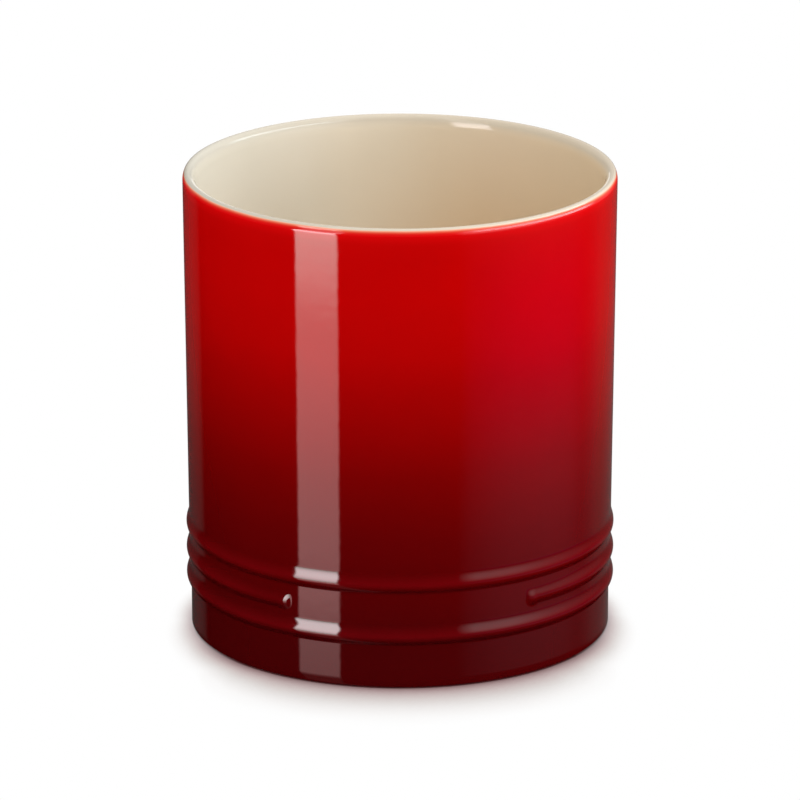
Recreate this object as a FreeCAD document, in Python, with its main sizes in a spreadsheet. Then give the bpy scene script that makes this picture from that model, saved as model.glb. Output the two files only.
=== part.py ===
import FreeCAD, Part
import os

import Sketcher
from FreeCAD import Vector

# Utensil crock: one stoneware vessel with three raised rings near its foot, and its glaze coats,
# red outside, cream inside and over the rim, and a dark one in the recess under the base.
# Origin: the middle of the foot, on the table. +Z is up. -Y is the front, where the middle ring
# stops short on both sides of a plain panel.

doc = FreeCAD.newDocument("utensil_crock")
sizes = doc.addObject("Spreadsheet::Sheet", "Sizes")

# Driving sizes, in millimetres and degrees. Diameters and heights are those of the bare clay.
driving_sizes = [
    ("rim_diameter", 149.2, "outside diameter at the mouth"),
    ("clay_height", 163.0, "table to the crown of the rim"),
    ("wall_inset", 1.28, "how far the wall draws in, on the radius, from the rim to the rings"),
    ("groove_inset", 0.26, "how far the surface between the rings lies behind the wall"),
    ("band_inset", 0.38, "how far the band under the rings lies behind the grooves"),
    ("ring_radius", 5.1, "radius of a ring's round section"),
    ("ring_rise", 1.17, "how far a ring stands proud of the grooves"),
    ("ring_pitch", 9.3, "height from one ring to the next"),
    ("lowest_ring_height", 18.7, "table to the middle of the lowest ring"),
    ("panel_angle", 70.2, "gap in the middle ring, between its ball ends, in degrees about the axis"),
    ("rim_wall", 3.5, "wall at the mouth"),
    ("base_wall", 5.0, "wall at the foot"),
    ("rim_outer_round", 1.0, "rounding of the rim's outer edge"),
    ("rim_crown_width", 0.2, "level strip left between the two roundings of the rim"),
    ("glaze_line_drop", 0.4, "straight wall between the rim's rounding and the red coat's edge"),
    ("floor_thickness", 6.6, "clay between the recess and the inside floor"),
    ("inside_corner_radius", 9.0, "rounding between the inside wall and floor"),
    ("foot_width", 6.0, "width of the foot ring"),
    ("foot_edge_radius", 1.0, "rounding of the foot ring's outer edge, left bare"),
    ("recess_depth", 2.0, "depth of the recess under the base"),
    ("recess_corner_radius", 1.2, "rounding in the corner of the recess"),
    ("glaze_thickness", 0.4, "thickness of every glaze coat"),
]
for row, (alias, value, meaning) in enumerate(driving_sizes, start=1):
    sizes.set(f"A{row}", meaning)
    sizes.set(f"B{row}", str(value))
    sizes.setAlias(f"B{row}", alias)
doc.recompute()

# Radii and heights worked out from the driving sizes, as expressions for the sketches.
coat = "Sizes.glaze_thickness"
rim_radius = "(Sizes.rim_diameter / 2)"
wall_radius = f"({rim_radius} - Sizes.wall_inset)"
groove_radius = f"({wall_radius} - Sizes.groove_inset)"
band_radius = f"({groove_radius} - Sizes.band_inset)"
ring_centre_radius = f"({groove_radius} + Sizes.ring_rise - Sizes.ring_radius)"
low_ring = "Sizes.lowest_ring_height"
middle_ring = f"({low_ring} + Sizes.ring_pitch)"
high_ring = f"({middle_ring} + Sizes.ring_pitch)"
crown = "Sizes.clay_height"
rim_outer_round = "Sizes.rim_outer_round"
rim_inner_round = "(Sizes.rim_wall - Sizes.rim_crown_width - Sizes.rim_outer_round)"
mouth_radius = f"({rim_radius} - Sizes.rim_wall)"
inside_foot_radius = f"({band_radius} - Sizes.base_wall)"
recess_top = "Sizes.recess_depth"
recess_radius = f"({band_radius} - Sizes.foot_width)"
floor_top = f"({recess_top} + Sizes.floor_thickness)"

# The red coat starts above the bare edge of the foot and ends just under the rim's rounding.
glaze_foot = "Sizes.foot_edge_radius"
glaze_line = f"({crown} - {rim_outer_round} - Sizes.glaze_line_drop)"
line_share = f"(({glaze_line} - {high_ring}) / ({crown} - {high_ring}))"
line_radius = f"({wall_radius} + Sizes.wall_inset * {line_share})"

# A coat is cut from a blank whose hidden side lies in the middle of the clay wall and floor.
middle_of_rim = f"({rim_radius} - Sizes.rim_wall / 2)"
middle_of_base = f"({band_radius} - Sizes.base_wall / 2)"
middle_of_floor = f"({recess_top} + Sizes.floor_thickness / 2)"

# Sketch numbering: a sketch's own axes and origin, and the points of its lines and circles.
sketch_axis = {"horizontal": -1, "vertical": -2}
sketch_origin = (-1, 1)
sketch_point = {"start": 1, "end": 2, "centre": 3}
full_turn = 360
match_tolerance = 0.01


def value_of(expression):
    return float(sizes.evalExpression(expression))


def new_sketch(body, name, plane_role):
    plane = next(item for item in body.Origin.OriginFeatures if item.Role == plane_role)
    sketch = body.newObject("Sketcher::SketchObject", name)
    sketch.AttachmentSupport = (plane, [""])
    sketch.MapMode = "FlatFace"
    return sketch


def bind(sketch, constraint, expression):
    index = sketch.addConstraint(constraint)
    sketch.setExpression(f"Constraints[{index}]", expression)


# Hold a sketch point at a radius from the axis and a height above the table.
def pin_point(sketch, geometry, point, radius, height):
    places = (("DistanceX", "vertical", radius), ("DistanceY", "horizontal", height))
    for kind, axis, expression in places:
        if expression == "0":
            on_axis = Sketcher.Constraint("PointOnObject", geometry, point, sketch_axis[axis])
            sketch.addConstraint(on_axis)
        else:
            size = value_of(expression)
            bind(sketch, Sketcher.Constraint(kind, *sketch_origin, geometry, point, size), expression)


# Draw a closed outline through corners given as (radius, height).
def draw_outline(sketch, corners):
    places = [Vector(value_of(radius), value_of(height), 0) for radius, height in corners]
    count = len(corners)
    for number in range(count):
        sketch.addGeometry(Part.LineSegment(places[number], places[(number + 1) % count]))
    for number in range(count):
        end = (number, sketch_point["end"])
        next_start = ((number + 1) % count, sketch_point["start"])
        sketch.addConstraint(Sketcher.Constraint("Coincident", *end, *next_start))
    for number, (radius, height) in enumerate(corners):
        pin_point(sketch, number, sketch_point["start"], radius, height)


def draw_ring_section(sketch, height, grow):
    section_radius = f"Sizes.ring_radius + {grow}"
    size = value_of(section_radius)
    centre = Vector(value_of(ring_centre_radius), value_of(height), 0)
    circle = sketch.addGeometry(Part.Circle(centre, Vector(0, 0, 1), size))
    pin_point(sketch, circle, sketch_point["centre"], ring_centre_radius, height)
    bind(sketch, Sketcher.Constraint("Radius", circle, size), section_radius)


def turn(body, kind, name, sketch):
    feature = body.newObject(kind, name)
    feature.Profile = sketch
    feature.ReferenceAxis = (sketch, ["V_Axis"])
    feature.Angle = full_turn
    return feature


def turn_outline(body, kind, name, corners):
    sketch = new_sketch(body, f"{name}_outline", "XZ_Plane")
    draw_outline(sketch, corners)
    turn(body, kind, name, sketch)


# The lowest and highest rings go all the way round. The middle one is turned both ways from the
# back and ends in a ball on each side of the panel.
def add_rings(body, grow):
    whole = new_sketch(body, "whole_rings_section", "XZ_Plane")
    for height in (low_ring, high_ring):
        draw_ring_section(whole, height, grow)
    turn(body, "PartDesign::Revolution", "whole_rings", whole)

    broken = new_sketch(body, "middle_ring_section", "YZ_Plane")
    draw_ring_section(broken, middle_ring, grow)
    middle = turn(body, "PartDesign::Revolution", "middle_ring", broken)
    middle.Midplane = True
    middle.setExpression("Angle", f"({full_turn} - Sizes.panel_angle) * 1 deg")

    half_panel = "Sizes.panel_angle / 2 * 1 deg"
    for name, side in (("left_ring_end", -1), ("right_ring_end", 1)):
        ball = body.newObject("PartDesign::AdditiveSphere", name)
        ball.setExpression("Radius", f"Sizes.ring_radius + {grow}")
        ball.setExpression("Placement.Base.x", f"{side} * {ring_centre_radius} * sin({half_panel})")
        ball.setExpression("Placement.Base.y", f"-1 * {ring_centre_radius} * cos({half_panel})")
        ball.setExpression("Placement.Base.z", middle_ring)


# Round the edges of the body that are level circles of these (radius, height) places.
def round_circles(body, name, fillet_radius, circles):
    doc.recompute()
    base = body.Tip
    wanted = [(value_of(radius), value_of(height)) for radius, height in circles]
    found = []
    for number, edge in enumerate(base.Shape.Edges, start=1):
        if not isinstance(edge.Curve, Part.Circle):
            continue
        for radius, height in wanted:
            off_radius = abs(edge.Curve.Radius - radius)
            off_height = abs(edge.Curve.Center.z - height)
            if max(off_radius, off_height) < match_tolerance:
                found.append(f"Edge{number}")
    fillet = body.newObject("PartDesign::Fillet", name)
    fillet.Base = (base, found)
    fillet.setExpression("Radius", fillet_radius)


# The clay vessel: its outside form and rings, then the cavity, the recess and the roundings.
clay = doc.addObject("PartDesign::Body", "stoneware_body")
turn_outline(clay, "PartDesign::Revolution", "outside_form", [
    ("0", "0"),
    (band_radius, "0"),
    (band_radius, low_ring),
    (groove_radius, low_ring),
    (groove_radius, high_ring),
    (wall_radius, high_ring),
    (rim_radius, crown),
    ("0", crown),
])
add_rings(clay, "0")
turn_outline(clay, "PartDesign::Groove", "cavity", [
    ("0", floor_top),
    (inside_foot_radius, floor_top),
    (mouth_radius, crown),
    ("0", crown),
])
turn_outline(clay, "PartDesign::Groove", "base_recess", [
    ("0", "0"),
    (recess_radius, "0"),
    (recess_radius, recess_top),
    ("0", recess_top),
])
round_circles(clay, "rim_outer_edge", rim_outer_round, [(rim_radius, crown)])
round_circles(clay, "rim_inner_edge", rim_inner_round, [(mouth_radius, crown)])
round_circles(clay, "inside_corner", "Sizes.inside_corner_radius", [(inside_foot_radius, floor_top)])
round_circles(clay, "foot_edge", "Sizes.foot_edge_radius", [(band_radius, "0")])
round_circles(clay, "recess_corner", "Sizes.recess_corner_radius", [(recess_radius, recess_top)])

# The red coat's blank: a sleeve over the outside, bored again where the rings reach into it.
sleeve = doc.addObject("PartDesign::Body", "exterior_sleeve")
turn_outline(sleeve, "PartDesign::Revolution", "sleeve_form", [
    (f"{band_radius} + {coat}", glaze_foot),
    (f"{band_radius} + {coat}", low_ring),
    (f"{groove_radius} + {coat}", low_ring),
    (f"{groove_radius} + {coat}", high_ring),
    (f"{wall_radius} + {coat}", high_ring),
    (f"{line_radius} + {coat}", glaze_line),
    (middle_of_rim, glaze_line),
    (middle_of_base, glaze_foot),
])
add_rings(sleeve, coat)
turn_outline(sleeve, "PartDesign::Groove", "sleeve_bore", [
    ("0", "0"),
    (middle_of_base, "0"),
    (middle_of_base, glaze_foot),
    (middle_of_rim, glaze_line),
    ("0", glaze_line),
])

# The cream coat's blank: a lining of the cavity that folds over the rim.
lining = doc.addObject("PartDesign::Body", "interior_lining")
lined_corner = (f"{inside_foot_radius} - {coat}", f"{floor_top} + {coat}")
lined_mouth = (f"{mouth_radius} - {coat}", f"{crown} + {coat}")
lined_rim = (f"{rim_radius} + {coat}", f"{crown} + {coat}")
turn_outline(lining, "PartDesign::Revolution", "lining_form", [
    ("0", f"{floor_top} + {coat}"),
    lined_corner,
    lined_mouth,
    lined_rim,
    (f"{line_radius} + {coat}", glaze_line),
    (middle_of_rim, glaze_line),
    (middle_of_base, middle_of_floor),
    ("0", middle_of_floor),
])
round_circles(lining, "lined_outer_edge", f"{rim_outer_round} + {coat}", [lined_rim])
round_circles(lining, "lined_inner_edge", f"{rim_inner_round} + {coat}", [lined_mouth])
round_circles(lining, "lined_corner", f"Sizes.inside_corner_radius - {coat}", [lined_corner])

# The blank of the coat under the base: a disc in the recess.
disc = doc.addObject("PartDesign::Body", "recess_disc")
turn_outline(disc, "PartDesign::Revolution", "disc_form", [
    ("0", f"{recess_top} - {coat}"),
    (recess_radius, f"{recess_top} - {coat}"),
    (recess_radius, recess_top),
    ("0", recess_top),
])

# Each coat is what is left of its blank outside the clay.
sub_parts = [clay]
for name, blank in (("exterior_glaze", sleeve), ("interior_glaze", lining), ("underside_glaze", disc)):
    glaze = doc.addObject("Part::Cut", name)
    glaze.Base = blank
    glaze.Tool = clay
    sub_parts.append(glaze)
doc.recompute()

for item in doc.Objects:
    if "Invalid" in item.State or "Error" in item.State:
        raise RuntimeError(f"{item.Label} did not build")
for item in sub_parts:
    if item.Shape.isNull() or not item.Shape.isValid() or len(item.Shape.Solids) != 1:
        raise RuntimeError(f"{item.Label} is not one valid solid")

os.makedirs("parts", exist_ok=True)
for item in sub_parts:
    item.Shape.exportStep(f"parts/{item.Label}.step")
    box = item.Shape.optimalBoundingBox()
    print(f"{item.Label}: {item.Shape.Volume:.0f} mm3, {box.XLength:.2f} x {box.YLength:.2f} x {box.ZLength:.2f}")
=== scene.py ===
import bpy
import math
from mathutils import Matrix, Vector


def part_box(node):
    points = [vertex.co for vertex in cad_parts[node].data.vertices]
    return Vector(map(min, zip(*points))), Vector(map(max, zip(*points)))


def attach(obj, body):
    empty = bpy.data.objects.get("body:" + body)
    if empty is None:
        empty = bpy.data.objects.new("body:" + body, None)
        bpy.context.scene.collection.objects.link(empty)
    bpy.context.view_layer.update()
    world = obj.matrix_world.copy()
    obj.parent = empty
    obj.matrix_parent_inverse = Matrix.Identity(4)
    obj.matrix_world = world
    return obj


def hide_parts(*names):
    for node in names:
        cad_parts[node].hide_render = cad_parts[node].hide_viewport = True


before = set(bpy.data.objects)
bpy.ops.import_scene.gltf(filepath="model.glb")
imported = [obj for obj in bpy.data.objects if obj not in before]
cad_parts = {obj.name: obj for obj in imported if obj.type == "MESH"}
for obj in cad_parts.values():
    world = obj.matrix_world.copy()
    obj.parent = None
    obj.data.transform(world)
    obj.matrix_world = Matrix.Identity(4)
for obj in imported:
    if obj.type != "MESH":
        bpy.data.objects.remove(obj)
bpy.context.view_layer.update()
print("frame loaded")

mm = 0.001
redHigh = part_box("exterior_glaze")[1]
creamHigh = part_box("interior_glaze")[1]
underLow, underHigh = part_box("underside_glaze")

# the crock as it stands glazed, in metres
crock = {
    "height": creamHigh.z,
    "rimRadius": 75.0 * mm,
    "wallFootRadius": 73.72 * mm,   # wall just above the rings
    "grooveRadius": 73.46 * mm,     # between the rings
    "bandRadius": 73.08 * mm,       # plain band under the rings
    "coat": 0.4 * mm,
    "lineHeight": redHigh.z,        # the red coat ends here, under the rim's rounding
    "footRound": 1.0 * mm,          # clay rounding at the foot
}
rings = {
    "lowest": 18.5 * mm,
    "pitch": 9.3 * mm,
    "section": 3.25 * mm,            # radius of the round lower side
    "rise": 1.22 * mm,
    "upperFlank": 4.5 * mm,         # the glaze runs softly down to the crest over this height
    "lowerRoot": 0.3 * mm,          # and turns sharply under it
    "halfGap": math.radians(35.6),  # from the front to the ball at an end of the middle ring
    "endSection": 4.0 * mm,         # the middle ring flattens to this
    "endFlank": 3.4 * mm,
    "endDrop": 0.52 * mm,           # and sinks by this
    "endTaper": math.radians(26.0),
    "endBall": 6.0 * mm,
    "ballProud": 0.16 * mm,
}
rings["top"] = rings["lowest"] + 2 * rings["pitch"]
rings["crestRadius"] = crock["grooveRadius"] + rings["rise"]


def feed(tree, socket, value):
    if isinstance(value, bpy.types.NodeSocket):
        tree.links.new(value, socket)
    else:
        socket.default_value = value


def add(tree, kind, inputs=None, **settings):
    node = tree.nodes.new(kind)
    for name, value in settings.items():
        setattr(node, name, value)
    for name, value in (inputs or {}).items():
        feed(tree, node.inputs[name], value)
    return node


def calc(tree, operation, *values):
    node = add(tree, "ShaderNodeMath", operation=operation)
    for socket, value in zip(node.inputs, values):
        feed(tree, socket, value)
    return node.outputs[0]


def total(tree, operation, values):
    result = values[0]
    for value in values[1:]:
        result = calc(tree, operation, result, value)
    return result


def rescale(tree, value, fromLow, fromHigh, toLow=0.0, toHigh=1.0, kind="LINEAR"):
    return add(tree, "ShaderNodeMapRange", {
        "Value": value, "From Min": fromLow, "From Max": fromHigh, "To Min": toLow, "To Max": toHigh},
        interpolation_type=kind).outputs[0]


# the turning wheel: a profile of radius, inset and height is carried round the axis, the raised rings
# swell out of it, and the middle ring stops in a ball at both ends of its gap
wheelInputs = {
    "Columns": "NodeSocketObject",
    "Rings": "NodeSocketFloat",
    "Lowest ring": "NodeSocketFloat",
    "Ring pitch": "NodeSocketFloat",
    "Ring crest": "NodeSocketFloat",
    "Ring section": "NodeSocketFloat",
    "End section": "NodeSocketFloat",
    "End drop": "NodeSocketFloat",
    "End taper": "NodeSocketFloat",
    "End ball": "NodeSocketFloat",
    "Ball proud": "NodeSocketFloat",
    "Ring rise": "NodeSocketFloat",
    "Upper flank": "NodeSocketFloat",
    "End flank": "NodeSocketFloat",
    "Lower root": "NodeSocketFloat",
    "Half gap": "NodeSocketFloat",
    "Unevenness": "NodeSocketFloat",
    "Seed": "NodeSocketFloat",
    "Glaze": "NodeSocketMaterial",
}
wheel = {
    "waves": 26.0,                  # slow waves of the glazed surface, per metre
    "calmRadius": 20 * mm,          # no waves at the axis
    "sharpAngle": math.radians(40),
    "outsideReach": 1.5 * mm,       # rings only swell out of what lies this near the groove
    "seam": 0.002 * mm,
    "darkFrom": (0.6 * mm, 1.9 * mm),    # below a crest, where the glaze pools thicker and painted shade darkens it under the ring
    "darkTo": (2.4 * mm, 3.5 * mm),
    "darkEnd": (0.5 * mm, 2.0 * mm),     # past the end of the middle ring
    "lightFrom": (-1.2 * mm, 0.8 * mm),  # above a crest, where it thins
    "seed": 3.0,
}


def makeWheel():
    tree = bpy.data.node_groups.new("turningWheel", "GeometryNodeTree")
    tree.interface.new_socket("Profile", in_out="INPUT", socket_type="NodeSocketGeometry")
    for name, kind in wheelInputs.items():
        tree.interface.new_socket(name, in_out="INPUT", socket_type=kind)
    tree.interface.new_socket("Turned", in_out="OUTPUT", socket_type="NodeSocketGeometry")
    inlet = tree.nodes.new("NodeGroupInput").outputs
    outlet = tree.nodes.new("NodeGroupOutput")

    def count(geometry):
        size = add(tree, "GeometryNodeAttributeDomainSize", {"Geometry": geometry}, component="MESH")
        return size.outputs["Point Count"]

    columns = add(tree, "GeometryNodeObjectInfo", {"Object": inlet["Columns"]}).outputs["Geometry"]
    columnCount, rowCount = count(columns), count(inlet["Profile"])
    lastColumn = calc(tree, "SUBTRACT", columnCount, 1.0)
    net = add(tree, "GeometryNodeMeshGrid", {
        "Size X": lastColumn,
        "Size Y": rowCount,
        "Vertices X": columnCount,
        "Vertices Y": calc(tree, "ADD", rowCount, 1.0),
    })

    # each knot of the net reads its own profile point and its own angle
    place = add(tree, "GeometryNodeInputPosition").outputs[0]
    knot = add(tree, "ShaderNodeSeparateXYZ", {0: place}).outputs
    column = calc(tree, "ROUND", calc(tree, "MULTIPLY_ADD", lastColumn, 0.5, knot["X"]))
    row = calc(tree, "ROUND", calc(tree, "MULTIPLY_ADD", rowCount, 0.5, knot["Y"]))
    row = calc(tree, "MODULO", row, rowCount)

    def readPoint(geometry, index):
        sample = add(tree, "GeometryNodeSampleIndex", {"Geometry": geometry, "Index": index},
                     data_type="FLOAT_VECTOR", domain="POINT")
        valueSocket = next(s for s in sample.inputs if s.name == "Value" and s.type == "VECTOR")
        feed(tree, valueSocket, place)
        found = next(s for s in sample.outputs if s.type == "VECTOR")
        return add(tree, "ShaderNodeSeparateXYZ", {0: found}).outputs

    profile = readPoint(inlet["Profile"], row)
    radius, inset, height = profile["X"], profile["Y"], profile["Z"]
    angle = readPoint(columns, column)["X"]

    # each ring is round below its crest and falls away softly above it; the middle one flattens,
    # sinks and closes in a ball at its ends
    crestRadius = calc(tree, "SUBTRACT", inlet["Ring crest"], inset)
    crestFoot = calc(tree, "SUBTRACT", crestRadius, inlet["Ring rise"])
    pastEnd = calc(tree, "SUBTRACT", calc(tree, "ABSOLUTE", angle), inlet["Half gap"])
    fromEnd = calc(tree, "MULTIPLY", pastEnd, inlet["Ring crest"])
    intoGap = calc(tree, "MAXIMUM", calc(tree, "MULTIPLY", fromEnd, -1.0), 0.0)
    flattened = rescale(tree, pastEnd, 0.0, inlet["End taper"], inlet["End section"], inlet["Ring section"],
                        "SMOOTHSTEP")
    sunk = rescale(tree, pastEnd, 0.0, inlet["End taper"], inlet["End drop"], 0.0, "SMOOTHSTEP")

    def beadRadius(section, offSquared, drop=0.0):
        section = calc(tree, "SUBTRACT", section, inset)
        left = calc(tree, "SUBTRACT", calc(tree, "MULTIPLY", section, section), offSquared)
        reach = calc(tree, "SQRT", calc(tree, "MAXIMUM", left, 0.0))
        middle = calc(tree, "SUBTRACT", calc(tree, "SUBTRACT", crestRadius, drop), section)
        return calc(tree, "ADD", middle, reach)

    swells, crests, shades = [], [], []
    for number in range(3):
        ringHeight = calc(tree, "MULTIPLY_ADD", inlet["Ring pitch"], float(number), inlet["Lowest ring"])
        off = calc(tree, "SUBTRACT", height, ringHeight)
        below = calc(tree, "MINIMUM", off, 0.0)
        offSquared = calc(tree, "MULTIPLY", below, below)
        flank = inlet["Upper flank"]
        if number == 1:
            bead = beadRadius(flattened, calc(tree, "MULTIPLY_ADD", intoGap, intoGap, offSquared), sunk)
            ball = beadRadius(inlet["End ball"], calc(tree, "MULTIPLY_ADD", fromEnd, fromEnd, offSquared),
                              calc(tree, "SUBTRACT", inlet["End drop"], inlet["Ball proud"]))
            bead = calc(tree, "MAXIMUM", bead, ball)
            flank = rescale(tree, pastEnd, 0.0, inlet["End taper"], inlet["End flank"], flank, "SMOOTHSTEP")
        else:
            bead = beadRadius(inlet["Ring section"], offSquared)
        ridge = calc(tree, "SMOOTH_MAX", radius, bead, inlet["Lower root"])
        fall = rescale(tree, off, 0.0, flank, 1.0, 0.0, "SMOOTHSTEP")
        swells.append(calc(tree, "MULTIPLY_ADD", calc(tree, "SUBTRACT", ridge, radius), fall, radius))
        # 1 on the upper side of a crest, where the glaze is thin; 1 under the ring, where the glaze pools
        # thicker and painted shade darkens it
        crest = calc(tree, "DIVIDE", calc(tree, "SUBTRACT", bead, crestFoot), inlet["Ring rise"])
        crest = calc(tree, "MULTIPLY", calc(tree, "MAXIMUM", crest, 0.0), fall)
        thin = rescale(tree, off, *wheel["lightFrom"], kind="SMOOTHSTEP")
        crests.append(calc(tree, "MULTIPLY", crest, thin))
        under = calc(tree, "MULTIPLY", off, -1.0)
        shade = calc(tree, "MULTIPLY", rescale(tree, under, *wheel["darkFrom"], kind="SMOOTHSTEP"),
                     rescale(tree, under, *wheel["darkTo"], 1.0, 0.0, "SMOOTHSTEP"))
        if number == 1:
            shade = calc(tree, "MULTIPLY", shade, rescale(tree, intoGap, *wheel["darkEnd"], 1.0, 0.0))
        shades.append(shade)
    soft = total(tree, "MAXIMUM", swells)
    outside = calc(tree, "GREATER_THAN", radius, calc(tree, "SUBTRACT", crestFoot, wheel["outsideReach"]))
    outside = calc(tree, "MULTIPLY", outside, inlet["Rings"])
    ringed = calc(tree, "MULTIPLY_ADD", calc(tree, "SUBTRACT", soft, radius), outside, radius)
    crest = calc(tree, "MULTIPLY", total(tree, "MAXIMUM", crests), outside)
    pooled = calc(tree, "MULTIPLY", total(tree, "MAXIMUM", shades), outside)

    # slow waves, as on any poured and fired glaze
    side = calc(tree, "SINE", angle)
    front = calc(tree, "MULTIPLY", calc(tree, "COSINE", angle), -1.0)

    def around(reach):
        spot = add(tree, "ShaderNodeCombineXYZ", {
            "X": calc(tree, "MULTIPLY", reach, side),
            "Y": calc(tree, "MULTIPLY", reach, front),
            "Z": height,
        })
        return spot.outputs[0]

    waves = add(tree, "ShaderNodeTexNoise", {
        "Vector": around(ringed), "W": inlet["Seed"], "Scale": wheel["waves"], "Detail": 1.0},
        noise_dimensions="4D").outputs[0]
    waves = calc(tree, "MULTIPLY", calc(tree, "SUBTRACT", waves, 0.5), inlet["Unevenness"])
    calm = calc(tree, "MINIMUM", calc(tree, "DIVIDE", ringed, wheel["calmRadius"]), 1.0)
    turned = calc(tree, "MULTIPLY_ADD", waves, calm, ringed)

    work = net.outputs["Mesh"]
    # kept for the glaze: thin crests, and pooled glaze with painted shade under the rings
    for name, value in (("crest", crest), ("pooled", pooled)):
        keep = add(tree, "GeometryNodeStoreNamedAttribute", {"Geometry": work, "Name": name},
                   data_type="FLOAT", domain="POINT")
        feed(tree, next(s for s in keep.inputs if s.name == "Value" and s.type == "VALUE"), value)
        work = keep.outputs[0]
    work = add(tree, "GeometryNodeSetPosition", {"Geometry": work, "Position": around(turned)}).outputs[0]
    work = add(tree, "GeometryNodeMergeByDistance", {
        "Geometry": work, "Distance": wheel["seam"]}).outputs[0]
    # where a profile runs along the axis its faces close up, and only a bare edge is left to take away
    faceCount = add(tree, "GeometryNodeInputMeshEdgeNeighbors").outputs["Face Count"]
    bare = add(tree, "FunctionNodeCompare", {0: faceCount, 1: 0.5},
               data_type="FLOAT", operation="LESS_THAN").outputs[0]
    work = add(tree, "GeometryNodeDeleteGeometry", {"Geometry": work, "Selection": bare},
               domain="EDGE", mode="EDGE_FACE").outputs[0]
    work = add(tree, "GeometryNodeSetShadeSmooth", {"Geometry": work}, domain="FACE").outputs[0]
    bend = add(tree, "GeometryNodeInputMeshEdgeAngle").outputs["Unsigned Angle"]
    rounded = add(tree, "FunctionNodeCompare", {0: bend, 1: wheel["sharpAngle"]},
                  data_type="FLOAT", operation="LESS_THAN").outputs[0]
    work = add(tree, "GeometryNodeSetShadeSmooth", {"Geometry": work, "Shade Smooth": rounded},
               domain="EDGE").outputs[0]
    work = add(tree, "GeometryNodeRealizeInstances", {"Geometry": work}).outputs[0]
    work = add(tree, "GeometryNodeSetMaterial", {"Geometry": work, "Material": inlet["Glaze"]}).outputs[0]
    feed(tree, outlet.inputs[0], work)
    return tree


def pointsObject(name, points):
    mesh = bpy.data.meshes.new(name)
    mesh.from_pydata(points, [], [])
    thing = bpy.data.objects.new(name, mesh)
    bpy.context.scene.collection.objects.link(thing)
    return thing


# angles of the columns: close together at the ends of the middle ring
def columnAngles(step, fineStep=None, fineFrom=0.0, fineTo=0.0):
    angles = [0.0]
    while angles[-1] < math.pi:
        fine = fineStep and fineFrom <= angles[-1] < fineTo
        angles.append(angles[-1] + (fineStep if fine else step))
    angles[-1] = math.pi
    return [-angle for angle in reversed(angles[1:])] + angles


def turnPiece(name, profile, angles, withRings, unevenness, glaze):
    piece = pointsObject(name, [(radius, inset, height) for radius, height, inset in profile])
    columns = pointsObject(name + "Columns", [(angle, 0, 0) for angle in angles])
    values = {
        "Columns": columns,
        "Rings": 1.0 if withRings else 0.0,
        "Lowest ring": rings["lowest"],
        "Ring pitch": rings["pitch"],
        "Ring crest": rings["crestRadius"],
        "Ring section": rings["section"],
        "End section": rings["endSection"],
        "End drop": rings["endDrop"],
        "End taper": rings["endTaper"],
        "End ball": rings["endBall"],
        "Ball proud": rings["ballProud"],
        "Ring rise": rings["rise"],
        "Upper flank": rings["upperFlank"],
        "End flank": rings["endFlank"],
        "Lower root": rings["lowerRoot"],
        "Half gap": rings["halfGap"],
        "Unevenness": unevenness,
        "Seed": wheel["seed"],
        "Glaze": glaze,
    }
    modifier = piece.modifiers.new("turned", "NODES")
    modifier.node_group = turningWheel
    for item in turningWheel.interface.items_tree:
        if item.in_out == "INPUT" and item.name in values:
            modifier[item.identifier] = values[item.name]
    turnedMesh = bpy.data.meshes.new_from_object(
        piece.evaluated_get(bpy.context.evaluated_depsgraph_get()))
    piece.modifiers.clear()
    piece.data = turnedMesh
    turnedMesh.name = name
    bpy.data.objects.remove(columns)
    print(name, len(turnedMesh.vertices), "points,", len(turnedMesh.polygons), "faces")
    return piece


turningWheel = makeWheel()


def spread(start, end, step):
    count = max(1, round(abs(end - start) / step))
    return [start + (end - start) * number / count for number in range(count + 1)]


def arcPoints(middle, startRadius, endRadius, startAngle, endAngle, count):
    points = []
    for number in range(count + 1):
        share = number / count
        reach = startRadius + (endRadius - startRadius) * share
        turn = math.radians(startAngle + (endAngle - startAngle) * share)
        points.append((middle[0] + reach * math.cos(turn), middle[1] + reach * math.sin(turn)))
    return points


def curvePoints(corners, count):
    points = []
    for number in range(count + 1):
        t = number / count
        shares = ((1 - t) ** 2, 2 * t * (1 - t), t ** 2)
        points.append(tuple(sum(share * corner[axis] for share, corner in zip(shares, corners))
                            for axis in (0, 1)))
    return points


# the wall leans out a little from the top ring to the rim, and rolls in just under the line
lip = {
    "from": 160.4 * mm,
    "bend": 100.0,                  # inwards, per metre squared
}


def wallRadius(height):
    lean = (crock["rimRadius"] - crock["wallFootRadius"]) / (crock["height"] - crock["coat"] - rings["top"])
    roll = max(0.0, height - lip["from"])
    return crock["wallFootRadius"] + lean * (height - rings["top"]) - lip["bend"] * roll ** 2


def surfaceRadius(height):
    if height < rings["lowest"]:
        return crock["bandRadius"]
    if height < rings["top"]:
        return crock["grooveRadius"]
    return wallRadius(height)


# a new glaze or body, and the place on the piece that its pattern reads
def newMaterial(name, **sockets):
    material = bpy.data.materials.new(name)
    material.use_nodes = True
    tree = material.node_tree
    shader = tree.nodes["Principled BSDF"]
    for socket, value in sockets.items():
        shader.inputs[socket].default_value = value
    place = add(tree, "ShaderNodeTexCoord").outputs["Object"]
    return material, tree, shader, place


def spotOf(tree, place):
    return add(tree, "ShaderNodeSeparateXYZ", {0: place}).outputs


def reachFromAxis(tree, spot):
    squares = [calc(tree, "MULTIPLY", spot[axis], spot[axis]) for axis in ("X", "Y")]
    return calc(tree, "SQRT", calc(tree, "ADD", *squares))


# 1 for what the eye meets, straight on or in a reflection
def seenRay(tree):
    ray = add(tree, "ShaderNodeLightPath").outputs
    kinds = ("Is Camera Ray", "Is Glossy Ray", "Is Transmission Ray")
    return total(tree, "MAXIMUM", [ray[kind] for kind in kinds])


def noise(tree, place, scale, detail=2.0):
    return add(tree, "ShaderNodeTexNoise", {"Vector": place, "Scale": scale, "Detail": detail}).outputs[0]


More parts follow.
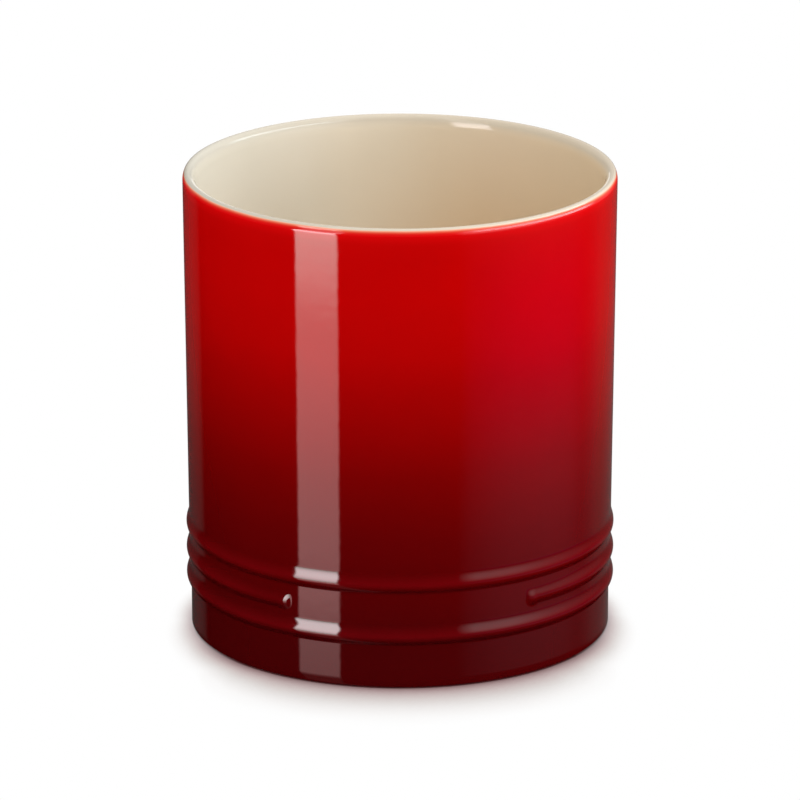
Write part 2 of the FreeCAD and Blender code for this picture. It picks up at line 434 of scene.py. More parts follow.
def cloudy(tree, place, scale, low, high):
    return rescale(tree, noise(tree, place, scale), 0.0, 1.0, low, high)


def ramp(tree, value, stops, kind="LINEAR"):
    node = add(tree, "ShaderNodeValToRGB", {"Fac": value})
    elements = node.color_ramp.elements
    node.color_ramp.interpolation = kind
    while len(elements) < len(stops):
        elements.new(0.5)
    for element, (position, colour) in zip(elements, stops):
        element.position = position
        element.color = (*colour, 1.0)
    return node.outputs["Color"]


def mixColours(tree, share, first, second, blend="MIX"):
    node = add(tree, "ShaderNodeMix", data_type="RGBA", blend_type=blend)
    colours = [s for s in node.inputs if s.type == "RGBA"]
    feed(tree, node.inputs[0], share)
    for socket, colour in zip(colours, (first, second)):
        feed(tree, socket, colour if isinstance(colour, bpy.types.NodeSocket) else (*colour, 1.0))
    return next(s for s in node.outputs if s.type == "RGBA")


def bump(tree, shader, height, depth):
    node = add(tree, "ShaderNodeBump", {"Strength": 1.0, "Distance": depth, "Height": height})
    feed(tree, shader.inputs["Normal"], node.outputs[0])


def attribute(tree, name):
    return add(tree, "ShaderNodeAttribute", attribute_name=name).outputs["Fac"]


# where the red runs thin over the rim's edge and gives way to the cream
meeting = {
    "from": 160.9 * mm,
    "to": 162.95 * mm,
    "wander": 0.16 * mm,
    "wanderScale": 60.0,
    "rollFrom": 160.9 * mm,          # the coat thins over the edge here
    "rollTo": 162.3 * mm,
    "roll": 0.28 * mm,
    "stops": [
        (0.0, (0.624, 0.0012, 0.0027)),
        (0.34, (0.658, 0.0075, 0.0070)),
        (0.52, (0.672, 0.0260, 0.0160)),
        (0.68, (0.716, 0.0950, 0.0540)),
        (0.84, (0.791, 0.2500, 0.1590)),
        (1.0, (0.800, 0.5200, 0.3900)),
    ],
}


def edgeRoll(tree, place):
    height = spotOf(tree, place)["Z"]
    return rescale(tree, height, meeting["rollFrom"], meeting["rollTo"], 0.0, -meeting["roll"],
                   "SMOOTHSTEP")


def meetingColour(tree, place):
    height = spotOf(tree, place)["Z"]
    wander = cloudy(tree, place, meeting["wanderScale"], -meeting["wander"], meeting["wander"])
    across = rescale(tree, calc(tree, "ADD", height, wander), meeting["from"], meeting["to"])
    return across, ramp(tree, across, meeting["stops"])


# red glaze: bright at the rim, sinking to dark cherry at the foot
redGlaze = {
    "stops": [                       # height in mm, colour
        (0, (0.0600, 0.0008, 0.0014)),
        (12, (0.0590, 0.0008, 0.0014)),
        (42, (0.0880, 0.0004, 0.0008)),
        (53, (0.103, 0.0004, 0.0008)),
        (64, (0.130, 0.0004, 0.0006)),
        (75, (0.164, 0.0003, 0.0005)),
        (85, (0.213, 0.0003, 0.0005)),
        (96, (0.265, 0.0003, 0.0005)),
        (107, (0.317, 0.0003, 0.0005)),
        (118, (0.384, 0.0003, 0.0005)),
        (128, (0.414, 0.0003, 0.0005)),
        (139, (0.441, 0.0003, 0.0005)),
        (152, (0.448, 0.0003, 0.0005)),
        (158, (0.465, 0.0006, 0.0008)),
        (161.5, (0.600, 0.0014, 0.0024)),
    ],
    "drift": 2.5 * mm,               # how far the shade wanders up and down
    "driftScale": 16.0,
    "driftEnd": (130 * mm, 155 * mm),    # it dies out between these heights
    "crestShare": 0.25,              # thinner and lighter on a ring's crest
    "crestTint": (0.24, 0.002, 0.006),
    "pooledShare": 0.45,             # thicker glaze and painted shade, darker under a ring
    "pooledTint": (0.016, 0.0003, 0.0008),
    "mottle": (0.96, 1.04),
    "mottleScale": 90.0,
    "rough": (0.03, 0.06),
    "roughScale": 140.0,
    "peel": 0.011 * mm,              # the fine unevenness of a fired glaze
    "peelScale": 230.0,
}


def paintRedGlaze():
    material, tree, shader, place = newMaterial("redGlaze", Roughness=0.05, IOR=1.5)
    height = spotOf(tree, place)["Z"]
    drift = cloudy(tree, place, redGlaze["driftScale"], -redGlaze["drift"], redGlaze["drift"])
    topHeight = redGlaze["stops"][-1][0]
    calm = rescale(tree, height, *redGlaze["driftEnd"], 1.0, 0.0)
    drift = calc(tree, "MULTIPLY", drift, calm)
    shade = calc(tree, "DIVIDE", calc(tree, "ADD", height, drift), topHeight * mm)
    colour = ramp(tree, shade, [(level / topHeight, tint) for level, tint in redGlaze["stops"]])
    # lighter where the glaze runs thin on a crest; darker under a ring, where pooled glaze and painted shade
    # lie
    for name in ("crest", "pooled"):
        share = calc(tree, "MULTIPLY", attribute(tree, name), redGlaze[name + "Share"])
        colour = mixColours(tree, share, colour, redGlaze[name + "Tint"])
    mottle = rescale(tree, noise(tree, place, redGlaze["mottleScale"], 3.0), 0.0, 1.0, *redGlaze["mottle"])
    colour = mixColours(tree, 1.0, colour, mottle, "MULTIPLY")
    across, thinned = meetingColour(tree, place)
    colour = mixColours(tree, calc(tree, "GREATER_THAN", across, 0.0), colour, thinned)
    feed(tree, shader.inputs["Base Color"], colour)
    feed(tree, shader.inputs["Roughness"], cloudy(tree, place, redGlaze["roughScale"], *redGlaze["rough"]))
    peel = calc(tree, "MULTIPLY", noise(tree, place, redGlaze["peelScale"], 1.0), redGlaze["peel"])
    bump(tree, shader, calc(tree, "ADD", peel, edgeRoll(tree, place)), 1.0)
    return material


# cream glaze: lines the inside and folds over the rim, where the red creeps up to meet it
creamGlaze = {
    "rim": [                         # thin over the rim: mm across, colour
        (-72, (0.535, 0.515, 0.450)),
        (-40, (0.590, 0.550, 0.470)),
        (0, (0.640, 0.575, 0.475)),
        (40, (0.620, 0.550, 0.450)),
        (72, (0.600, 0.530, 0.430)),
    ],
    "across": [                      # painted light and shade across the inside, cooler to the left, darker and warmer to the right: mm, colour
        (-72, (0.615, 0.596, 0.518)),
        (-50, (0.652, 0.622, 0.534)),
        (-33, (0.760, 0.715, 0.614)),
        (-15, (0.825, 0.757, 0.632)),
        (0, (0.800, 0.722, 0.592)),
        (17, (0.760, 0.652, 0.505)),
        (35, (0.742, 0.618, 0.470)),
        (50, (0.730, 0.600, 0.445)),
        (72, (0.685, 0.552, 0.392)),
    ],
    "deep": [                        # painted bounce light deeper down, warmer to the right and paler on the left
        (-72, (0.900, 0.852, 0.735)),
        (-30, (0.900, 0.850, 0.730)),
        (0, (0.835, 0.690, 0.520)),
        (30, (0.765, 0.555, 0.350)),
        (72, (0.765, 0.555, 0.350)),
    ],
    "even": (0.790, 0.690, 0.545),   # one tone on the lower wall and the floor
    "evenFrom": 124 * mm,
    "evenTo": 78 * mm,
    "deepFrom": 158 * mm,
    "deepTo": 115 * mm,
    "deepShare": 0.75,
    "cloud": (0.35, 0.75),           # part of the noise that shows as faint clouds
    "cloudScale": 22.0,
    "cloudShare": 0.06,
    "crown": (4.4 * mm, 3.8 * mm),   # in from the rim, where the coat begins to thin
    "outsideFrom": 1.5 * mm,         # in from the rim, where its outer edge begins
    "meetingEnd": (0.97, 1.0),
    "rough": (0.05, 0.10),
    "roughScale": 110.0,
    "peel": 0.012 * mm,
    "peelScale": 170.0,
}


def paintCreamGlaze():
    material, tree, shader, place = newMaterial("creamGlaze", Roughness=0.08, IOR=1.37)
    spot = spotOf(tree, place)
    cloud = rescale(tree, noise(tree, place, creamGlaze["cloudScale"], 3.0), *creamGlaze["cloud"])
    deep = rescale(tree, spot["Z"], creamGlaze["deepFrom"], creamGlaze["deepTo"],
                   0.0, creamGlaze["deepShare"])
    deep = calc(tree, "MULTIPLY_ADD", cloud, creamGlaze["cloudShare"], deep)

    def acrossTint(stops):
        left, right = stops[0][0], stops[-1][0]
        return ramp(tree, rescale(tree, spot["X"], left * mm, right * mm),
                    [((level - left) / (right - left), tint) for level, tint in stops])

    # painted light: the cream's tint across the inside and deeper down stands in for how light falls and
    # bounces there
    cream = mixColours(tree, deep, acrossTint(creamGlaze["across"]), acrossTint(creamGlaze["deep"]))
    lower = rescale(tree, spot["Z"], creamGlaze["evenFrom"], creamGlaze["evenTo"], kind="SMOOTHSTEP")
    cream = mixColours(tree, lower, cream, creamGlaze["even"])
    across, thinned = meetingColour(tree, place)
    reach = reachFromAxis(tree, spot)
    crown = rescale(tree, reach, *[crock["rimRadius"] - inwards for inwards in creamGlaze["crown"]])
    cream = mixColours(tree, crown, cream, acrossTint(creamGlaze["rim"]))
    outside = calc(tree, "GREATER_THAN", reach, crock["rimRadius"] - creamGlaze["outsideFrom"])
    below = rescale(tree, across, *creamGlaze["meetingEnd"], 1.0, 0.0)
    colour = mixColours(tree, calc(tree, "MULTIPLY", outside, below), cream, thinned)
    feed(tree, shader.inputs["Base Color"], colour)
    feed(tree, shader.inputs["Roughness"],
         cloudy(tree, place, creamGlaze["roughScale"], *creamGlaze["rough"]))
    peel = calc(tree, "MULTIPLY", noise(tree, place, creamGlaze["peelScale"], 1.0), creamGlaze["peel"])
    roll = calc(tree, "MULTIPLY", edgeRoll(tree, place), outside)
    bump(tree, shader, calc(tree, "ADD", peel, roll), 1.0)
    return material


# the coat under the base: the same red at its darkest, pooled in the recess
underGlaze = {
    "stops": [
        (0.30, (0.105, 0.0035, 0.0050)),
        (0.55, (0.150, 0.0050, 0.0060)),
        (0.75, (0.185, 0.0080, 0.0075)),
    ],
    "cloudScale": 34.0,
    "rough": (0.07, 0.16),
    "roughScale": 90.0,
    "grain": 0.02 * mm,
    "grainScale": 150.0,
}


def paintUnderGlaze():
    material, tree, shader, place = newMaterial("underGlaze", Roughness=0.10, IOR=1.5)
    cloud = noise(tree, place, underGlaze["cloudScale"], 3.0)
    feed(tree, shader.inputs["Base Color"], ramp(tree, cloud, underGlaze["stops"]))
    feed(tree, shader.inputs["Roughness"],
         cloudy(tree, place, underGlaze["roughScale"], *underGlaze["rough"]))
    bump(tree, shader, noise(tree, place, underGlaze["grainScale"]), underGlaze["grain"])
    return material


# bare stoneware: pale buff with iron specks and a sanded tooth
bareClay = {
    "stops": [
        (0.30, (0.56, 0.47, 0.36)),
        (0.55, (0.65, 0.57, 0.45)),
        (0.75, (0.70, 0.63, 0.52)),
    ],
    "cloudScale": 45.0,
    "speckScale": 420.0,
    "speckSize": (0.10, 0.22),       # share of a cell, sharp and soft edge
    "speckKept": 0.56,               # more leaves fewer specks
    "speckKeptScale": 160.0,
    "speckShare": 0.7,
    "speckTint": (0.16, 0.10, 0.06),
    "rough": (0.75, 0.95),
    "roughScale": 300.0,
    "tooth": 0.08 * mm,
    "toothScale": 1500.0,
}


def paintBareClay():
    material, tree, shader, place = newMaterial("bareClay", Roughness=0.85, IOR=1.45)
    body = ramp(tree, noise(tree, place, bareClay["cloudScale"], 4.0), bareClay["stops"])
    cells = add(tree, "ShaderNodeTexVoronoi", {
        "Vector": place, "Scale": bareClay["speckScale"]}, feature="F1")
    speck = rescale(tree, cells.outputs["Distance"], *bareClay["speckSize"], 1.0, 0.0)
    kept = calc(tree, "GREATER_THAN", noise(tree, place, bareClay["speckKeptScale"]), bareClay["speckKept"])
    share = calc(tree, "MULTIPLY", calc(tree, "MULTIPLY", speck, kept), bareClay["speckShare"])
    feed(tree, shader.inputs["Base Color"], mixColours(tree, share, body, bareClay["speckTint"]))
    feed(tree, shader.inputs["Roughness"], cloudy(tree, place, bareClay["roughScale"], *bareClay["rough"]))
    bump(tree, shader, noise(tree, place, bareClay["toothScale"], 3.0), bareClay["tooth"])
    return material


redMaterial = paintRedGlaze()
creamMaterial = paintCreamGlaze()
underMaterial = paintUnderGlaze()
clayMaterial = paintBareClay()
print("glazes mixed")

# red coat: rows of its profile from the foot to the rim's line outside, and back down behind
redCoat = {
    "ringStep": 0.3 * mm,            # rows among the rings
    "ringsReach": 5.4 * mm,          # above and below them
    "footStep": 2.5 * mm,
    "footRows": 8,
    "hiddenFootRows": 6,
    "wallStep": 5.0 * mm,
    "lipStep": 0.2 * mm,
    "hiddenStep": 1.0 * mm,
    "hiddenWallStep": 20.0 * mm,
    "footTurn": -55.0,               # the coat rolls under the foot's edge to here, in degrees
    "footThin": 0.06 * mm,           # and thins to this
    "unevenness": 0.05 * mm,
    "angleStep": math.radians(0.80),
    "fineAngleStep": math.radians(0.25),
    "fineReach": math.radians(3.3),
}


# heights between which the rings shape the rows
def ringsSpan():
    return rings["lowest"] - redCoat["ringsReach"], rings["top"] + redCoat["ringsReach"]


# rows where the coat lies on the clay, upwards
def backHeights():
    low, high = ringsSpan()
    heights = spread(low, high, redCoat["hiddenStep"])
    return heights + spread(high, crock["lineHeight"], redCoat["hiddenWallStep"])[1:]


def redProfile():
    coat = crock["coat"]
    footRound = crock["footRound"]
    footMiddle = (crock["bandRadius"] - coat - footRound, footRound)
    outerFoot = arcPoints(footMiddle, footRound + redCoat["footThin"], footRound + coat,
                          redCoat["footTurn"], 0, redCoat["footRows"])
    innerFoot = arcPoints(footMiddle, footRound, footRound, 0, redCoat["footTurn"], redCoat["hiddenFootRows"])
    ringed = spread(*ringsSpan(), redCoat["ringStep"])
    lower = spread(footRound, ringed[0], redCoat["footStep"])[1:-1]
    upper = spread(ringed[-1], lip["from"], redCoat["wallStep"])[1:]
    upper += spread(lip["from"], crock["lineHeight"], redCoat["lipStep"])[1:]
    outer = [(radius, height, 0.0) for radius, height in outerFoot]
    outer += [(surfaceRadius(height), height, 0.0) for height in lower + ringed + upper]
    back = [(surfaceRadius(height) - coat, height, coat) for height in reversed(backHeights())]
    back += [(radius, height, coat) for radius, height in innerFoot]
    return outer + back


redAngles = columnAngles(redCoat["angleStep"], redCoat["fineAngleStep"],
                         rings["halfGap"] - redCoat["fineReach"], rings["halfGap"] + redCoat["fineReach"])
crockRedGlaze = turnPiece("crockRedGlaze", redProfile(), redAngles, True, redCoat["unevenness"],
                          redMaterial)
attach(crockRedGlaze, "root")
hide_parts("exterior_glaze")

# cream coat: over the rim, down the inside wall, round the corner and across the floor
creamCoat = {
    "outerRound": 1.4 * mm,          # how far the rim's outer edge rolls in
    "innerRound": 2.7 * mm,          # its inner edge rolls in over this width
    "innerDepth": 5.2 * mm,          # and down to this depth
    "mouthRadius": 70.7 * mm,
    "footRadius": 67.28 * mm,        # inside wall where it would meet the floor
    "floorHeight": 9.0 * mm,
    "cornerRound": 8.6 * mm,
    "wallStep": 5.0 * mm,
    "floorStep": 5.0 * mm,
    "hiddenStep": 20.0 * mm,
    "cornerRows": 14,
    "hiddenCornerRows": 6,
    "unevenness": 0.05 * mm,
    "angleStep": math.radians(0.9),
}


# lining of a cavity: rim, wall, corner and floor, drawn in by an inset for the side against the clay
def liningPoints(inset, wallStep, floorStep, cornerCount):
    innerRound = creamCoat["innerRound"] - inset
    top = crock["height"] - inset
    mouth = creamCoat["mouthRadius"] + inset
    foot = creamCoat["footRadius"] + inset
    floor = creamCoat["floorHeight"] - inset
    corner = creamCoat["cornerRound"] + inset
    lean = math.atan2(mouth - foot, top - floor)
    line = crock["lineHeight"]

    def wallAt(height):
        return foot + (height - floor) * math.tan(lean)

    start = wallRadius(line) - inset
    tilt = 2 * lip["bend"] * (line - lip["from"])
    lipCurve = [(start, line), (start - tilt * (top - line), top),
                (crock["rimRadius"] - creamCoat["outerRound"], top)]
    wallTop = top - creamCoat["innerDepth"]
    innerCurve = [(wallAt(top) + innerRound, top), (wallAt(top), top), (wallAt(wallTop), wallTop)]
    points = curvePoints(lipCurve, cornerCount) + curvePoints(innerCurve, cornerCount)
    cornerMiddleHeight = floor + corner
    cornerMiddle = (wallAt(cornerMiddleHeight) - corner / math.cos(lean), cornerMiddleHeight)
    turned = arcPoints(cornerMiddle, corner, corner, -math.degrees(lean), -90, cornerCount)
    points += [(wallAt(height), height) for height in spread(wallTop, turned[0][1], wallStep)[1:-1]]
    points += turned
    points += [(radius, floor) for radius in spread(cornerMiddle[0], 0.0, floorStep)[1:]]
    return points


def hiddenLining():
    return liningPoints(crock["coat"], creamCoat["hiddenStep"], creamCoat["hiddenStep"],
                        creamCoat["hiddenCornerRows"])


creamFace = [(radius, height, 0.0) for radius, height in liningPoints(
    0.0, creamCoat["wallStep"], creamCoat["floorStep"], creamCoat["cornerRows"])]
creamBack = [(radius, height, crock["coat"]) for radius, height in reversed(hiddenLining())]
crockCreamGlaze = turnPiece("crockCreamGlaze", creamFace + creamBack, columnAngles(creamCoat["angleStep"]),
                            False, creamCoat["unevenness"], creamMaterial)
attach(crockCreamGlaze, "root")
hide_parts("interior_glaze")

# coat under the base: a thin disc that creeps into the corner of the recess
underCoat = {
    "edgeRadius": underHigh.x,
    "creep": 0.35 * mm,              # how far it climbs down the corner
    "creepWidth": 2.5 * mm,
    "creepRows": 6,
    "step": 6.0 * mm,
    "unevenness": 0.0,
    "angleStep": math.radians(1.5),
}


def underProfile():
    top, bottom = underHigh.z, underLow.z
    edge = underCoat["edgeRadius"]
    inner = edge - underCoat["creepWidth"]
    face = [(radius, bottom, 0.0) for radius in spread(0.0, inner, underCoat["step"])]
    for number in range(underCoat["creepRows"]):
        share = (number + 1) / underCoat["creepRows"]
        climbed = underCoat["creep"] * share ** 3
        face.append((inner + underCoat["creepWidth"] * share, bottom - climbed, 0.0))
    back = [(radius, top, 0.0) for radius in spread(edge, 0.0, underCoat["step"] * 2)]
    return face + back


crockUnderGlaze = turnPiece("crockUnderGlaze", underProfile(), columnAngles(underCoat["angleStep"]),
                            False, underCoat["unevenness"], underMaterial)
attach(crockUnderGlaze, "root")
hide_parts("underside_glaze")

# the clay under the coats: it shows only at the foot ring
clayBody = {
    "recessRound": 0.5 * mm,         # inner edge of the foot ring
    "recessStep": 12.0 * mm,
    "recessRows": 4,
    "unevenness": 0.0,
    "angleStep": math.radians(1.0),
    "fineAngleStep": math.radians(0.5),
}


def clayProfile():
    coat, footRound = crock["coat"], crock["footRound"]
    recess, edge = underCoat["edgeRadius"], clayBody["recessRound"]
    under = [(radius, underHigh.z) for radius in spread(0.0, recess, clayBody["recessStep"])]
    under += arcPoints((recess + edge, edge), edge, edge, 180, 270, clayBody["recessRows"])
    under += arcPoints((crock["bandRadius"] - coat - footRound, footRound), footRound, footRound,
                       -90, 0, redCoat["footRows"])
    outer = [(surfaceRadius(height) - coat, height, coat) for height in backHeights()]
    lining = hiddenLining()[1:]
    return [(*point, 0.0) for point in under] + outer + [(*point, 0.0) for point in lining]


clayAngles = columnAngles(clayBody["angleStep"], clayBody["fineAngleStep"],
                          rings["halfGap"] - redCoat["fineReach"], rings["halfGap"] + redCoat["fineReach"])
crockClay = turnPiece("crockClay", clayProfile(), clayAngles, True, clayBody["unevenness"], clayMaterial)
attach(crockClay, "root")
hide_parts("stoneware_body")
print("crock turned and glazed")

# pale floor: white to the eye, with a painted shadow, darker and pinkish where the crock stands close
floorSet = {
    "radius": 6.0,
    "albedo": 0.88,
    "shadowReach": 45 * mm,
    "shadowSamples": 16,
    "shadowLean": (0.0, 0.9, 0.44),  # the soft light comes from above and behind
    "shadow": [
        (0.430, (0.053, 0.017, 0.018)),
        (0.470, (0.195, 0.120, 0.120)),
        (0.545, (0.347, 0.231, 0.231)),
        (0.582, (0.440, 0.323, 0.328)),
        (0.612, (0.521, 0.418, 0.413)),
        (0.662, (0.638, 0.546, 0.533)),
        (0.735, (0.723, 0.694, 0.672)),
        (0.772, (0.839, 0.807, 0.799)),
        (0.847, (0.930, 0.913, 0.905)),
        (0.930, (1.0, 1.0, 1.0)),
    ],
    "sideStrength": 0.66,            # of the shadow at the sides
    "sideTo": 0.6,                   # full strength from here to the front
    "spread": [(0.0, 0.22), (0.6, 0.5), (0.8, 0.85), (0.92, 1.0)],   # narrower at the sides
}


def discObject(name, radius, count=96):
    turns = [2 * math.pi * number / count for number in range(count)]
    mesh = bpy.data.meshes.new(name)
    mesh.from_pydata([(radius * math.cos(t), radius * math.sin(t), 0) for t in turns], [], [range(count)])
    thing = bpy.data.objects.new(name, mesh)
    bpy.context.scene.collection.objects.link(thing)
    return thing


def paintFloor():
    material = bpy.data.materials.new("paleFloor")
    material.use_nodes = True
    tree = material.node_tree
    tree.nodes.clear()
    spot = spotOf(tree, add(tree, "ShaderNodeTexCoord").outputs["Object"])
    reach = reachFromAxis(tree, spot)
    frontness = calc(tree, "MULTIPLY", calc(tree, "DIVIDE", spot["Y"], reach), -1.0)
    width = ramp(tree, frontness, [(share, (width,) * 3) for share, width in floorSet["spread"]])
    # painted shadow, tinted pink by the red crock, drawn from occlusion into the floor's own emitted white
    near = add(tree, "ShaderNodeAmbientOcclusion", {
        "Distance": calc(tree, "MULTIPLY", width, floorSet["shadowReach"]),
        "Normal": floorSet["shadowLean"]}, samples=floorSet["shadowSamples"])
    strength = rescale(tree, frontness, 0.0, floorSet["sideTo"], floorSet["sideStrength"], 1.0)
    shade = mixColours(tree, strength, (1.0, 1.0, 1.0), ramp(tree, near.outputs["AO"], floorSet["shadow"]))
    seen = add(tree, "ShaderNodeEmission", {"Color": shade, "Strength": 1.0}).outputs[0]
    lit = add(tree, "ShaderNodeBsdfDiffuse", {"Color": (*[floorSet["albedo"]] * 3, 1.0)}).outputs[0]
    both = add(tree, "ShaderNodeMixShader", {0: seenRay(tree), 1: lit, 2: seen}).outputs[0]
    add(tree, "ShaderNodeOutputMaterial", {"Surface": both})
    material.cycles.emission_sampling = "NONE"
    return material


floor = discObject("floor", floorSet["radius"])
floor.data.materials.append(paintFloor())
floor.visible_glossy = False

# what the gloss reflects: a drum of dark studio flags round the crock, with a tall strip light at the
# left, a dim room from the right round to the back and a softbox high at the right
# only glossy rays meet it
drumSet = {
    "radius": 0.8,
    "low": -0.8,
    "high": 2.4,
    "stripAzimuth": -45.7,           # degrees from the crock's front, positive to the right
    "stripHalfWidth": 11.4,
    "stripSoft": 0.9,
    "stripTint": [                   # height, colour
        (-0.8, (1.7, 1.0, 0.98)), (-0.17, (1.7, 1.0, 0.98)), (-0.06, (0.75, 1.0, 0.93)),
        (0.05, (1.08, 1.0, 1.02)), (1.3, (1.0, 1.0, 1.0))],
    "stripGlow": [                   # height, strength
        (-0.36, 0.1), (-0.30, 0.6), (-0.27, 1.1), (-0.240, 1.35), (-0.222, 2.0), (-0.168, 2.15),
        (-0.146, 2.36), (-0.105, 2.45), (-0.0925, 3.7), (-0.083, 4.7), (-0.070, 5.4), (0.000, 7.0),
        (0.120, 10.0), (0.220, 11.4), (0.450, 11.4), (0.620, 2.6), (2.4, 2.6)],
    "roomAcross": [                  # azimuth, strength
        (-180, 0.0), (27, 0.0), (34, 0.40), (48, 0.80), (60, 1.0), (80, 1.0), (95, 0.75),
        (110, 0.28), (122, 0.2), (130, 0.0), (180, 0.0)],
    "roomTint": [                    # height, colour: a dim wall, violet far from the lamps
        (-0.8, (0.0, 0.0, 0.0)), (-0.32, (0.0, 0.0, 0.0)), (-0.27, (0.08, 0.085, 0.09)),
        (-0.205, (0.12, 0.13, 0.17)), (-0.184, (0.12, 0.13, 0.19)), (-0.156, (0.10, 0.075, 0.18)),
        (-0.127, (0.08, 0.022, 0.15)), (-0.098, (0.07, 0.010, 0.115)), (-0.06, (0.10, 0.070, 0.090)),
        (0.02, (0.14, 0.12, 0.14)), (1.3, (0.14, 0.12, 0.14))],
    "windowAcross": [
        (-180, 0.0), (27, 0.0), (36, 1.0), (58, 1.0), (78, 0.5), (96, 0.22), (130, 0.2),
        (145, 0.0), (180, 0.0)],
    "windowGlow": [(-0.02, 0.0), (0.06, 0.25), (0.22, 0.95), (0.40, 1.25), (1.3, 1.25)],
    "limbAcross": [                  # azimuth, strength: what the sides reflect
        (-180, 0.08), (-160, 0.05), (-143, 0.06), (-136, 0.05), (-131, 0.0), (106, 0.0), (118, 0.03),
        (128, 0.075), (144, 0.09), (160, 0.11), (180, 0.08)],
    "limbRise": [                    # height, times as strong
        (-0.8, 0.0), (-0.36, 0.0), (-0.28, 1.0), (-0.20, 0.97), (-0.156, 0.9), (-0.127, 0.77),
        (-0.098, 0.67), (-0.06, 0.62), (0.15, 0.6), (0.32, 5.0), (0.50, 9.0), (1.3, 9.0)],
    "limbTint": (1.05, 1.0, 0.95),
    "boxAzimuth": 75.0,
    "boxHalfWidth": 36.0,
    "boxSoft": 8.0,
    "boxLean": 0.005,                # lower by this for each degree to the right
    "boxLevelAzimuth": 40.0,         # its glow is written for here
    "boxGlow": [(0.66, 0.0), (0.72, 8.6), (0.84, 8.6), (0.90, 0.0)],
    "boxTint": (0.80, 1.0, 1.08),
    "backAzimuth": 180.0,
    "backHalfWidth": 6.0,
    "backSoft": 1.0,
    "backGlow": [(-0.40, 0.0), (-0.25, 2.0), (0.20, 2.0), (0.28, 0.0)],
    "backTint": (1.0, 1.0, 1.0),
}


def glowCurve(tree, level, stops):
    low, high = stops[0][0], stops[-1][0]
    brightest = max(glow for stop, glow in stops)
    share = rescale(tree, level, low, high)
    tints = [((stop - low) / (high - low), (glow / brightest,) * 3) for stop, glow in stops]
    return calc(tree, "MULTIPLY", ramp(tree, share, tints), brightest)


def paintDrum():
    material = bpy.data.materials.new("studioFlags")
    material.use_nodes = True
    tree = material.node_tree
    tree.nodes.clear()
    spot = spotOf(tree, add(tree, "ShaderNodeTexCoord").outputs["Object"])
    azimuth = calc(tree, "ARCTAN2", spot["X"], calc(tree, "MULTIPLY", spot["Y"], -1.0))
    azimuth = calc(tree, "MULTIPLY", azimuth, 180 / math.pi)

    def band(middle, halfWidth, soft):
        off = calc(tree, "SUBTRACT", azimuth, middle)
        off = calc(tree, "PINGPONG", off, 180.0)
        return rescale(tree, off, halfWidth - soft, halfWidth + soft, 1.0, 0.0, "SMOOTHSTEP")

    def tintOf(name):
        tint = drumSet[name + "Tint"]
        if isinstance(tint, tuple):
            return tint
        low, high = tint[0][0], tint[-1][0]
        return ramp(tree, rescale(tree, spot["Z"], low, high),
                    [((level - low) / (high - low), colour) for level, colour in tint])

    def light(tint, strength):
        return add(tree, "ShaderNodeEmission", {
            "Color": mixColours(tree, 1.0, tint, strength, "MULTIPLY"), "Strength": 1.0}).outputs[0]

    lights = [light(tintOf("room"), glowCurve(tree, azimuth, drumSet["roomAcross"]))]
    lights.append(light((1.0, 1.0, 1.0), calc(
        tree, "MULTIPLY", glowCurve(tree, azimuth, drumSet["windowAcross"]),
        glowCurve(tree, spot["Z"], drumSet["windowGlow"]))))
    lights.append(light(tintOf("limb"), calc(
        tree, "MULTIPLY", glowCurve(tree, azimuth, drumSet["limbAcross"]),
        glowCurve(tree, spot["Z"], drumSet["limbRise"]))))
    for name in ("strip", "box", "back"):
        across = band(drumSet[name + "Azimuth"], drumSet[name + "HalfWidth"], drumSet[name + "Soft"])
        level = spot["Z"]
        if name == "box":
            aside = calc(tree, "SUBTRACT", azimuth, drumSet["boxLevelAzimuth"])
            level = calc(tree, "MULTIPLY_ADD", aside, drumSet["boxLean"], level)
        glow = glowCurve(tree, level, drumSet[name + "Glow"])
        lights.append(light(tintOf(name), calc(tree, "MULTIPLY", across, glow)))
    allLights = lights[0]
    for more in lights[1:]:
        allLights = add(tree, "ShaderNodeAddShader", {0: allLights, 1: more}).outputs[0]
    add(tree, "ShaderNodeOutputMaterial", {"Surface": allLights})
    material.cycles.emission_sampling = "NONE"
    return material


def drumObject(name, radius, low, high, count=180):
    corners, faces = [], []
    for number in range(count):
        turn = 2 * math.pi * number / count
        corners += [(radius * math.sin(turn), -radius * math.cos(turn), height) for height in (low, high)]
        near, far = 2 * number, 2 * ((number + 1) % count)
        faces.append((near, near + 1, far + 1, far))
    faces.append(range(0, 2 * count, 2))
    mesh = bpy.data.meshes.new(name)
    mesh.from_pydata(corners, [], faces)
    thing = bpy.data.objects.new(name, mesh)
    bpy.context.scene.collection.objects.link(thing)
    return thing


drum = drumObject("studioFlags", drumSet["radius"], drumSet["low"], drumSet["high"])
drum.data.materials.append(paintDrum())
drum.visible_camera = False
drum.visible_diffuse = False
drum.visible_transmission = False
drum.visible_volume_scatter = False
drum.visible_shadow = False

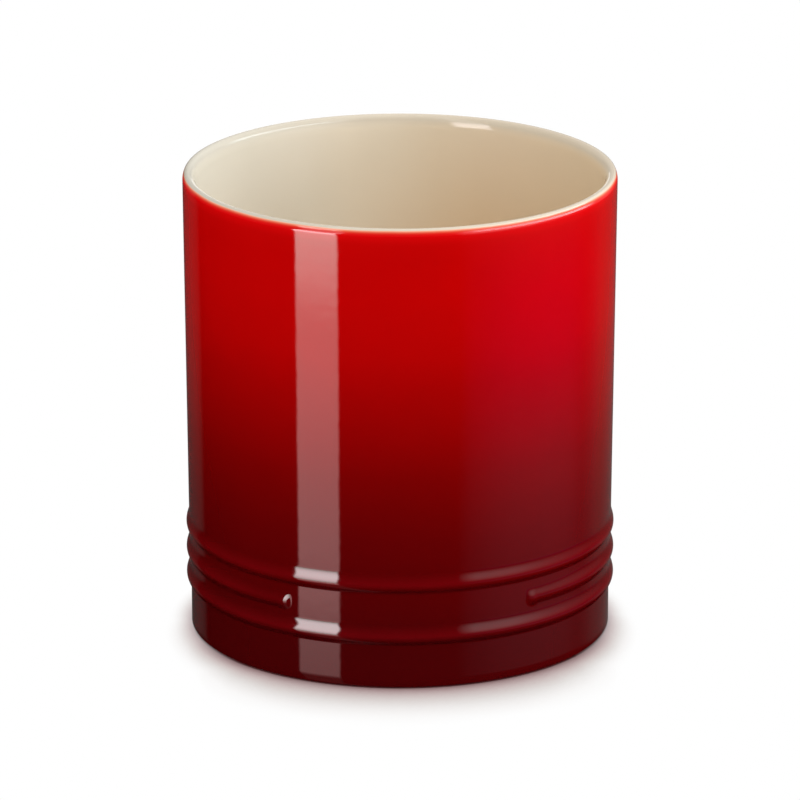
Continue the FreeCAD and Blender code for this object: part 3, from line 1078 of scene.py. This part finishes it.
# soft light: a world a little warm and brighter towards the horizon, a broad low lamp from the right
# and a weaker one from above the camera
lightSet = {
    "horizon": 1.15,
    "zenith": 0.96,
    "worldTint": (1.0, 0.96, 0.90),
    "lamps": [
        {"name": "sideLamp", "azimuth": 98, "elevation": 9, "spread": 40,
         "strength": 2.5, "tint": (1.0, 1.03, 1.07)},
        {"name": "frontLamp", "azimuth": 20, "elevation": 55, "spread": 50,
         "strength": 0.43, "tint": (1.0, 1.05, 1.10)},
    ],
}
world = bpy.data.worlds.new("studio")
bpy.context.scene.world = world
world.use_nodes = True
worldTree = world.node_tree
worldUp = spotOf(worldTree, add(worldTree, "ShaderNodeTexCoord").outputs["Generated"])["Z"]
worldGlow = rescale(worldTree, worldUp, 0.0, 1.0, lightSet["horizon"], lightSet["zenith"])
worldLight = mixColours(worldTree, 1.0, lightSet["worldTint"], worldGlow, "MULTIPLY")
worldColour = mixColours(worldTree, seenRay(worldTree), worldLight, (1.0, 1.0, 1.0))
feed(worldTree, worldTree.nodes["Background"].inputs["Color"], worldColour)
worldTree.nodes["Background"].inputs["Strength"].default_value = 1.0

for lampSet in lightSet["lamps"]:
    lamp = bpy.data.objects.new(lampSet["name"], bpy.data.lights.new(lampSet["name"], "SUN"))
    lamp.data.energy = lampSet["strength"]
    lamp.data.color = lampSet["tint"]
    lamp.data.angle = math.radians(lampSet["spread"])
    azimuth, elevation = math.radians(lampSet["azimuth"]), math.radians(lampSet["elevation"])
    towards = Vector((math.sin(azimuth) * math.cos(elevation),
                      -math.cos(azimuth) * math.cos(elevation), math.sin(elevation)))
    lamp.rotation_euler = towards.to_track_quat("Z", "Y").to_euler()
    lamp.visible_glossy = False
    bpy.context.scene.collection.objects.link(lamp)

# camera where the photograph was taken from
cameraSet = {
    "lens": 308.45,                  # on a 36 mm sensor
    "distance": 2.2736,              # from the axis, level
    "height": 0.8014,
    "lookDown": 17.6,
    "azimuth": -2.7,
}
cameraAzimuth = math.radians(cameraSet["azimuth"])
camera = bpy.data.objects.new("camera", bpy.data.cameras.new("camera"))
camera.data.sensor_width = 36.0
camera.data.lens = cameraSet["lens"]
camera.location = (cameraSet["distance"] * math.sin(cameraAzimuth),
                   -cameraSet["distance"] * math.cos(cameraAzimuth), cameraSet["height"])
camera.rotation_euler = (math.radians(90 - cameraSet["lookDown"]), 0, cameraAzimuth)
bpy.context.scene.collection.objects.link(camera)
bpy.context.scene.camera = camera
bpy.context.scene.view_settings.view_transform = "Standard"
print("floor, light and camera set")
